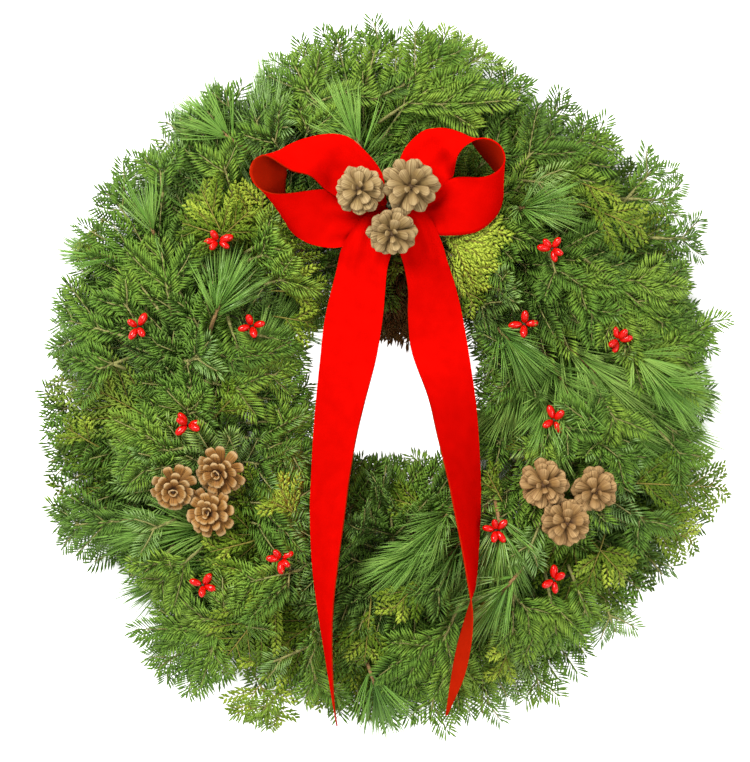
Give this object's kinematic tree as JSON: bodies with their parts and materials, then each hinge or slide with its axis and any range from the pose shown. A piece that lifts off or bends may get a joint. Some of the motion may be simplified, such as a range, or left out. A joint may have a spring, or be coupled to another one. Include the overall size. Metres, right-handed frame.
{
  "type": "fresh evergreen wreath",
  "caption": "Mixed fir, pine and cedar wreath on a clamp ring, with a red velvet bow with long tails, pine cones and red berry picks, lying face up",
  "frame": {"origin": "middle of the underside of the bounding box, at the level of the surface that the ring lies on", "axes": "+Z out of the face of the wreath, +Y to its top as it would hang, +X to its right as seen from the front"},
  "size_m": [0.6238, 0.6386, 0.1519],
  "materials": {
    "ring_wire": "dark green lacquered steel wire",
    "tie_wire": "bright florist wire",
    "ribbon": "red velvet with a short dense pile",
    "cone": "dry open pine cone, matt",
    "berry": "high gloss red lacquer",
    "fir": "waxy green needles on tan twigs",
    "pine": "fine blue-green needles",
    "cedar": "yellow-green scale leaves on orange-brown twigs"
  },
  "bodies": {
    "root": {"clamp_ring": "ring_wire", "left_loop": "ribbon", "right_loop": "ribbon", "left_tail": "ribbon", "right_tail": "ribbon", "bow_tie": "tie_wire", "cone_bow_left": "cone", "cone_bow_right": "cone", "cone_bow_lower": "cone", "cone_left_upper": "cone", "cone_left_outer": "cone", "cone_left_lower": "cone", "cone_right_inner": "cone", "cone_right_outer": "cone", "cone_right_lower": "cone", "berry_pick_01": "berry", "berry_pick_02": "berry", "berry_pick_03": "berry", "berry_pick_04": "berry", "berry_pick_05": "berry", "berry_pick_06": "berry", "berry_pick_07": "berry", "berry_pick_08": "berry", "berry_pick_09": "berry", "berry_pick_10": "berry", "berry_pick_11": "berry", "berry_pick_12": "berry", "fir_outer_01": "fir", "fir_outer_02": "fir", "cedar_outer_03": "cedar", "pine_outer_04": "pine", "cedar_outer_05": "cedar", "fir_outer_06": "fir", "cedar_outer_07": "cedar", "pine_outer_08": "pine", "cedar_outer_09": "cedar", "fir_outer_10": "fir", "pine_outer_11": "pine", "pine_face_01": "pine", "fir_face_02": "fir", "fir_face_03": "fir", "pine_face_04": "pine", "fir_face_05": "fir", "pine_face_06": "pine", "fir_face_07": "fir", "cedar_face_08": "cedar", "fir_face_09": "fir", "fir_face_10": "fir", "cedar_face_11": "cedar", "fir_inner_01": "fir", "cedar_inner_02": "cedar", "fir_inner_03": "fir", "pine_inner_04": "pine", "fir_inner_05": "fir", "fir_inner_06": "fir", "fir_inner_07": "fir", "fir_inner_08": "fir", "fir_inner_09": "fir", "pine_inner_10": "pine", "fir_inner_11": "fir"}
  },
  "joints": []
}
